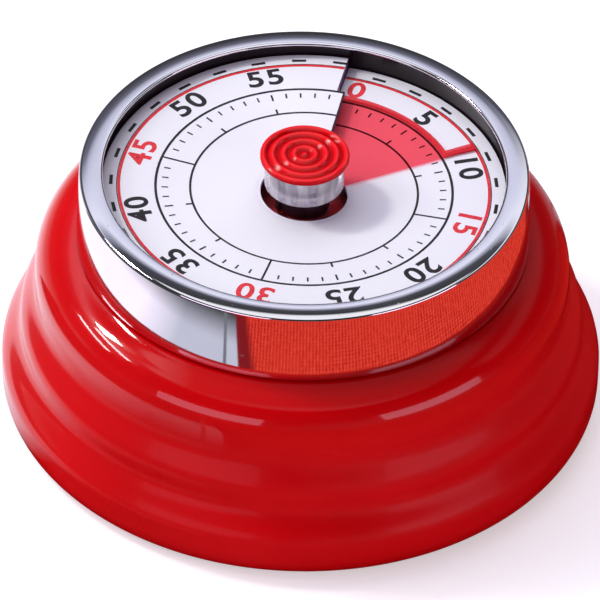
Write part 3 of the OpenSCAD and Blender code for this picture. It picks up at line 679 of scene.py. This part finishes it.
def dial_sheet():
    """The dished sheet with its raised hole edge, the wall that carries it, and the tongue over its low end."""
    lip = sunk([(HOLE_R + 0.24, 0.0), (HOLE_R + 0.18, 0.05), (HOLE_R + 0.05, 0.05), (HOLE_R, 0.0)])
    low = DECK_Z - DIAL_Z - DIAL_RISE - 0.2
    section = sunk([(HOLE_R, -DIAL_T), (FLANGE_R, -DIAL_T)]) + [
        (FLANGE_R, low), (DIAL_R, low), (DIAL_R, -0.05), (DIAL_R - 0.05, 0.0), (FLANGE_R, 0.0)] + lip
    rim = cut_away(swept("rim", section, RIM_START, RIM_END), (0, 0, DECK_Z), (0, 0, -1))
    section = sunk([(HOLE_R, -DIAL_T), (TONGUE_R, -DIAL_T), (TONGUE_R, -0.006)]) + [(r, h - 0.006) for r, h in lip]
    tongue = swept("tongue", section, RIM_END - 0.4, TIP_A, 0.5)
    slant, tip = math.radians(SLANT_A), math.radians(TIP_A)
    edge = Vector((TONGUE_TIP_R * math.sin(tip) - TONGUE_R * math.sin(slant),
                   TONGUE_TIP_R * math.cos(tip) - TONGUE_R * math.cos(slant), 0))
    cut_away(tongue, (TONGUE_R * math.sin(slant), TONGUE_R * math.cos(slant), 0), (-edge.y, edge.x, 0))
    return finish_piece(join([rim, tongue], "dial_sheet"), "dial_sheet")


def printed_circle(name, r, width, start=RIM_START + 0.1, end=RIM_END - 0.1):
    """A circle that climbs with the dial from one side of the slit to the other."""
    r0, r1 = r - width / 2, r + width / 2
    section = [(r0, PRINT_LOW), (r1, PRINT_LOW), (r1, PRINT_HIGH), (r0, PRINT_HIGH)]
    return swept(name, sunk(section), start, end, 1.5)


def laid(piece, r, minute):
    """Lays a print, made at the origin with its top towards +Y, on the dial, and lets it follow the dish."""
    a = 6 * minute
    where = math.radians(a)
    climb = math.atan(DIAL_RISE / (2 * math.pi * r))
    spot = Vector((r * math.sin(where), r * math.cos(where), ramp_z(a) + (PRINT_LOW + PRINT_HIGH) / 2))
    piece.matrix_world = (Matrix.Translation(spot * MM)
                          @ Matrix.Rotation(-where, 4, "Z") @ Matrix.Rotation(-climb, 4, "Y"))
    settle(piece)
    for v in piece.data.vertices:
        v.co.z -= dip(math.hypot(v.co.x, v.co.y) / MM) * MM
    return piece


def bar(length, width):
    """A thin bar of print, made at the origin."""
    deselect()
    bpy.ops.mesh.primitive_cube_add(size=MM)
    piece = bpy.context.object
    edit_all()
    bpy.ops.transform.resize(value=(length, width, PRINT_T), center_override=(0, 0, 0))
    leave()
    return piece


def stroke(r0, r1, width, minute):
    """One printed stroke from radius r0 to r1."""
    return laid(bar(width, r1 - r0), (r0 + r1) / 2, minute)


def slit_line():
    """A painted shadow line: black ink along the tongue's slanted edge, where its cut edge lies in shade."""
    ends = []
    for r, a in ((TONGUE_R, SLANT_A - 0.25), (TONGUE_TIP_R + 0.1, TIP_A - 0.4)):
        t = math.radians(a)
        ends.append(Vector((r * math.sin(t), r * math.cos(t), ramp_z(a) - dip(r) + PRINT_HIGH / 2)))
    along = ends[1] - ends[0]
    piece = bar(along.length, 0.17)
    piece.matrix_world = (Matrix.Translation((ends[0] + ends[1]) / 2 * MM)
                          @ along.to_track_quat("X", "Z").to_matrix().to_4x4())
    settle(piece)
    return piece


def figure(text, minute):
    """A plain number printed with its top outwards, and cut along the lines where the dial bends under it."""
    deselect()
    bpy.ops.object.text_add()
    data = bpy.context.object.data
    data.body = text
    data.size = NUMBER_H * MM / DIGIT_SHARE
    data.align_x = "CENTER"
    data.align_y = "CENTER"
    data.space_character = 1.12
    data.offset = NUMBER_H * MM * 0.03
    data.extrude = PRINT_T / 2 * MM
    bpy.ops.object.convert(target="MESH")
    piece = bpy.context.object
    edit_all()
    bpy.ops.transform.resize(value=(1.1, 1, 1), center_override=(0, 0, 0))
    for i in range(12):
        bpy.ops.mesh.select_all(action="SELECT")
        bpy.ops.mesh.bisect(plane_co=(0, (FLANGE_R + 0.05 - 0.08 * i - NUMBER_R) * MM, 0), plane_no=(0, 1, 0),
                            threshold=FINE_MERGE)
    leave()
    return laid(piece, NUMBER_R, minute)


def dial_print(black, red):
    """Circles, minute strokes, dashes and numbers, all laid on the ramp, with a painted shadow line along the slit
    among the circles.
    """
    circles = [printed_circle("outer_circle", OUTER_CIRCLE_R, 0.3, end=SLANT_A),
               printed_circle("inner_circle", INNER_CIRCLE_R, 0.26, end=360.3),
               printed_circle("rim_circle", RIM_CIRCLE_R, 0.1)]
    minutes = join([along_ramp(stroke(15.7, 16.45, THIN, m), 5, 12) for m in (1, 2, 3, 4)], "minutes")
    fives = [along_ramp(stroke(15.5, 16.5, 0.22, 5), 5, 11), along_ramp(stroke(13.2, 14.0, THICK, 5), 5, 11)]
    # Painted shadow: a black line along the tongue's slanted edge, joined with the printed circles.
    circles.append(slit_line())
    quarters = along_ramp(stroke(INNER_CIRCLE_R, 17.1, THICK, 15), 15, 3)
    dashes = along_ramp(stroke(22.1, 22.5, 1.65, 1.13), 60 / DASHES, DASHES)
    for name, group in (("circles", circles), ("minute_strokes", [minutes, *fives, quarters]), ("dashes", [dashes])):
        dressed(finish_piece(join(group, name), name), black, "root", "black_plastic")
    dressed(printed_circle("red_circle", RED_CIRCLE_R, 0.34), red, "root", "disc_red")
    for minute in range(0, 60, 5):
        ink_used, slot = (red, "disc_red") if minute % 15 == 0 else (black, "black_plastic")
        piece = figure(str(minute), minute if minute else 0.3)
        dressed(finish_piece(piece, "number_%d" % minute), ink_used, "root", slot)


def red_disc():
    """The film that climbs with the knob: its leading edge runs out into the pointer, and a notch takes the key."""
    low, high = DISC_GAP, DISC_GAP + DISC_T
    section = sunk([(DISC_IN_R, low), (DISC_R, low), (DISC_R, high), (DISC_IN_R, high)])
    piece = swept("red_disc", section, LEAD_A - 358, LEAD_A, 1.5)
    width = math.degrees(math.atan(POINTER_W / DISC_R)) + 0.3
    choose_faces(piece, lambda c, n: math.hypot(c.x, c.y) > DISC_R - 0.02 and abs(n.z) < 0.5
                 and 0 < (LEAD_A - clockwise(c)) % TURN < width)
    bpy.ops.mesh.extrude_region_move()
    k = POINTER_R / DISC_R
    bpy.ops.transform.resize(value=(k, k, 1), center_override=(0, 0, 0))
    bpy.ops.transform.translate(value=(0, 0, dip(DISC_R) * MM))
    key_a = (LEAD_A + 180) % TURN
    choose_points(piece, lambda p: math.hypot(p.x, p.y) < DISC_IN_R + 0.02
                  and abs(clockwise(p) - key_a) < KEY_HALF_A)
    k = (KEY_R + DISC_GAP) / DISC_IN_R
    bpy.ops.transform.resize(value=(k, k, 1), center_override=(0, 0, 0))
    return finish_piece(piece, "red_disc")


def clockwise(p):
    """The dial angle of a point."""
    return math.degrees(math.atan2(p.x, p.y)) % TURN


# ---------------------------------------------------------------- knob

def knob_cap():
    """The red cap: a rounded rim, a ridge beside it, three ridges further in and a boss in the middle."""
    edge = 0.24
    rim_ridge_r = 0.3
    top = KNOB_TOP - RIDGE_H
    gap = (CAP_R - 2 * 0.35) / 3.6
    valley, height = top - 0.05, RIDGE_H + 0.05
    outline = [(BORE_R, CAP_Z), (CAP_R - edge, CAP_Z)]
    outline += arc((CAP_R - edge, CAP_Z + edge), edge, -90, 0, 5)[1:]
    outline += arc((CAP_R - edge, top), edge, 0, 72, 5)
    outline += arc((CAP_R - edge - 0.1, KNOB_TOP - rim_ridge_r), rim_ridge_r, 84, 130, 5)
    for k in (3, 2, 1):
        for i in range(13):
            t = -1 + 2 * i / 12
            outline.append((k * gap - t * gap * 0.5, valley + height * (0.5 + 0.5 * math.cos(math.pi * t))))
    outline += [(gap * (0.5 - 0.5 * i / 8), valley + height * (0.5 - 0.5 * math.cos(math.pi * i / 8)))
                for i in range(1, 8)]
    return turned("knob_cap_top", outline, 160, 40, True)


def knob_stem():
    """The clear stem under the cap, with a short skirt round its foot."""
    bevel = 0.3
    skirt_in_r = STEM_R - 0.5
    low = STEM_Z - 0.42
    top = CAP_Z - 0.005
    outline = [(BORE_R, STEM_Z), (skirt_in_r - 0.05, STEM_Z), (skirt_in_r, low), (STEM_R - bevel, low)]
    outline += arc((STEM_R - bevel, low + bevel), bevel, -90, 0, 5)[1:]
    outline += [(STEM_R + 0.06, top), (BORE_R, top), (BORE_R, STEM_Z)]
    return turned("clear_stem", outline, 160)


# ---------------------------------------------------------------- studio

LAMP_AIM = 0.02


def lamp(name, place, size, power, colour=(1, 1, 1), mirrored=True):
    """A rectangular lamp that points at the timer; gloss and chrome mirror it or not."""
    data = bpy.data.lights.new(name, "AREA")
    data.shape = "RECTANGLE"
    data.size, data.size_y = size
    data.energy = power
    data.color = colour
    holder = bpy.data.objects.new(name, data)
    direction = Vector((0, 0, LAMP_AIM)) - place
    holder.matrix_world = Matrix.Translation(place) @ direction.to_track_quat("-Z", "Y").to_matrix().to_4x4()
    holder.visible_glossy = mirrored
    bpy.context.scene.collection.objects.link(holder)


def grey(value, tint=1.0):
    return (value, value, value * tint, 1)


def first_mirror(f):
    """Light path flags: seen by the camera, in gloss with no matt surface between, and through clear plastic."""
    camera_ray = f.node("LightPath", output="Is Camera Ray")
    glossy = camera_ray.out("Is Glossy Ray") * (camera_ray.out("Diffuse Depth") < 0.5)
    return camera_ray, glossy, camera_ray.out("Is Transmission Ray")


# What gloss mirrors of the studio's two halves, by height from 0 at the table to 1 overhead
BACK_WALL = [(0.0, grey(0.35)), (0.10, grey(0.10)), (0.40, grey(0.04)), (0.53, grey(0.10, 1.3)),
             (0.58, grey(0.16, 1.3)), (0.625, grey(0.62, 1.2)), (0.68, grey(0.88, 1.14)), (0.705, grey(0.4, 1.2)),
             (0.735, grey(0.07, 1.2)), (0.83, grey(0.04)), (0.85, grey(0.95)), (1.0, grey(1.0))]
FRONT_WALL = [(0.0, grey(0.12)), (0.1, grey(0.06)), (0.35, grey(0.02)), (0.75, grey(0.02)), (0.8, grey(0.95)),
              (1.0, grey(1.0))]


def sky():
    """White behind for the camera, soft light from the left, and for gloss a studio with dark and bright bands."""
    world = bpy.data.worlds.new("studio")
    bpy.context.scene.world = world
    world.use_nodes = True
    f = Finish("studio", world.node_tree)
    camera_ray, glossy, straight = first_mirror(f)
    parts = f.node("SeparateXYZ", {}, {0: f.node("TexCoord", output="Generated")})
    x, y, up = parts.out("X"), parts.out("Y"), parts.out("Z")
    away = x * AWAY.x + y * AWAY.y
    across = x * RIGHT.x + y * RIGHT.y
    back_wall = f.node("ValToRGB", {"stops": BACK_WALL}, {0: up + across * 0.06})
    window = f.between(across, 0.1, 0.3) * f.between(up, 0.50, 0.56) * f.between(up, 0.72, 0.68)
    back_wall = f.mix(window, back_wall, grey(0.92, 1.05))
    front_wall = f.node("ValToRGB", {"stops": FRONT_WALL}, {0: up})
    tone = f.mix(f.between(away, -0.08, 0.08), front_wall, back_wall)
    seen = f.node("Background", {}, {"Color": (1, 1, 1, 1), "Strength": 1.0})
    mirrored = f.node("Background", {}, {"Color": tone, "Strength": 1.0})
    soft = f.mix(f.between(away * 0.62 - across * 0.78, -0.3, 0.5), (0.10, 0.08, 0.11, 1), (0.98, 0.92, 1.16, 1))
    ambient = f.node("Background", {}, {"Color": soft, "Strength": 1.0})
    lit = f.node("MixShader", {}, {0: glossy, 1: ambient, 2: mirrored})
    whole = f.node("MixShader", {}, {0: camera_ray.maths("MAXIMUM", camera_ray, straight), 1: lit, 2: seen})
    f.node("OutputWorld", {}, {"Surface": whole})


def table():
    """Pale paper; gloss mirrors a white card on its left and a red woven cloth in front and on the right."""
    deselect()
    bpy.ops.mesh.primitive_plane_add(size=6)
    floor = bpy.context.object
    floor.name = "floor"
    f = Finish("floor_paper")
    camera_ray, glossy, _ = first_mirror(f)
    paper = f.surface(colour=f.vary(f.noise(40, 3.0), (0.78, 0.78, 0.79, 1), (0.81, 0.81, 0.82, 1)),
                      rough=0.9, specular=0.0)
    parts = f.node("SeparateXYZ", {}, {0: f.place()})
    x, y = parts.out("X") * 1000, parts.out("Y") * 1000
    across = x * RIGHT.x + y * RIGHT.y
    away = x * AWAY.x + y * AWAY.y
    radius = (x * x + y * y) ** 0.5
    # How far to the left of the card's edge, in millimetres
    left = across * -0.809 + away * 0.588 + 8.23
    bright = f.mix(f.between(radius, 60, 220), (1.2, 1.08, 1.2, 1), grey(0.5))
    card = f.mix(f.between(left, 22, 40), grey(0.6, 1.15), bright)
    card_end = f.between(radius, 62, 72) * (away + across * 0.445 < 0.0)
    card = f.mix(card_end, card, grey(0.05))
    crease = (left > 1.0) * (left < 2.3)
    card = f.mix(crease, card, grey(0.19, 1.1))
    u = y.maths("ARCTAN2", y, x) * 140
    v = radius * 2.6
    weave = (u + v).maths("SINE", u + v) * (u - v).maths("SINE", u - v)
    stipple = f.between(weave * 0.5 + f.noise(700, 2.0, 0.6), 0.25, 0.8)
    cloth = f.mix(stipple, (0.47, 0.006, 0.006, 1), (0.97, 0.082, 0.044, 1))
    hem = f.between(left, -11, -8)
    cloth = f.mix(hem, cloth, (0.24, 0.012, 0.016, 1))
    spread = f.mix(left > -3.6, cloth, card)
    # Under the timer it is dark, less far out on the left
    lit_part = f.between(radius + f.between(left, 17, 31) * 14, 44, 50)
    mirrored = f.node("Emission", {}, {"Color": f.mix(lit_part, (0.05, 0.002, 0.002, 1), spread), "Strength": 1.0})
    glow = f.node("Emission", {}, {"Color": (1, 1, 1, 1), "Strength": 0.45})
    seen = f.node("AddShader", {}, {0: paper, 1: glow})
    lit = f.node("MixShader", {}, {0: camera_ray, 1: paper, 2: seen})
    above = f.node("MixShader", {}, {0: glossy, 1: lit, 2: mirrored})
    beneath = f.node("NewGeometry", output="Backfacing")
    whole = f.node("MixShader", {}, {0: beneath, 1: above, 2: f.node("BsdfTransparent")})
    floor.data.materials.append(f.done(whole))


def studio():
    sky()
    table()
    lamp("key", toward(-67, 49, 1.0), (0.13, 0.13), 3.4, (1, 0.99, 0.9))
    lamp("left_strip_low", toward(-81, 31, 1.0), (0.34, 0.05), 0.9)
    lamp("left_strip_high", toward(-84, 42, 1.0), (0.34, 0.05), 0.9)
    lamp("roof", toward(-10, 60, 1.1), (1.2, 0.7), 2.6, (0.97, 0.94, 1), mirrored=False)
    lamp("front_fill", toward(140, 6, 1.0), (1.4, 0.4), 3.6, (1, 0.98, 1), mirrored=False)
    lamp("front_left_box", toward(-145, 13, 0.8), (0.6, 0.24), 0.8, (1, 0.8, 1))
    lamp("front_right_box", toward(127, 14, 0.8), (0.6, 0.24), 0.8, (1, 0.8, 1))


# ---------------------------------------------------------------- the timer

camera()
studio()

black_ink = ink("black_ink", shade(20, 18, 26))
red_ink = ink("red_ink", shade(214, 26, 40))
dressed(body(), enamel(), "root", "enamel", "body_shell")
dressed(ring(), chrome(), "root", "chrome", "chrome_ring")
sheet = dressed(dial_sheet(), dial_white(), "root", "dial_white", "dial")
# The upright end faces at the step, picked below, get painted shade: dark purple, as in shadow.
sheet.data.materials.append(dial_edge())
for face in sheet.data.polygons:
    normal, centre = face.normal, face.center
    level = math.hypot(normal.x, normal.y)
    sideways = (normal.x * centre.y - normal.y * centre.x) / math.hypot(centre.x, centre.y)
    if level > 0.9 and abs(sideways) > 0.75:
        face.material_index = 1
dial_print(black_ink, red_ink)
dressed(red_disc(), disc_film(), "disc", "disc_red", "time_disc")
dressed(knob_cap(), knob_red(), "spindle", "knob_red", "knob_cap")
dressed(knob_stem(), clear_plastic(), "spindle", "clear_plastic", "knob_stem")

CAD_FINISHES = {
    "plated_steel": metal("zinc_plate", shade(176, 178, 184), 0.2, 0.4),
    "steel": metal("ground_steel", shade(150, 150, 156), 0.22, 0.4, turned_lines=True),
    "spring_steel": metal("blued_spring", shade(84, 92, 120), 0.22, 0.38),
    "plate_steel": metal("plate_steel", shade(182, 182, 176), 0.25, 0.45),
    "brass": metal("stamped_brass", shade(214, 172, 92), 0.2, 0.4),
    "bell_steel": metal("nickel_bell", shade(196, 194, 190), 0.12, 0.28, turned_lines=True),
    "black_plastic": black_plastic(),
    "magnet_black": ferrite(),
}
# Painted shade: the hub is coloured dark maroon, as the red disc looks in shade deep in the hole.
OWN_FINISHES = {"drive_hub": ink("hub_maroon_painted_shade", shade(48, 14, 28))}
for row in frame["record"]["subparts"]:
    if row["material_slot"] in CAD_FINISHES:
        finish = OWN_FINISHES.get(row["node"], CAD_FINISHES[row["material_slot"]])
        mesh = frame["nodes"][row["node"]].data
        mesh.materials.clear()
        mesh.materials.append(finish)

bpy.context.scene.view_settings.view_transform = "Standard"
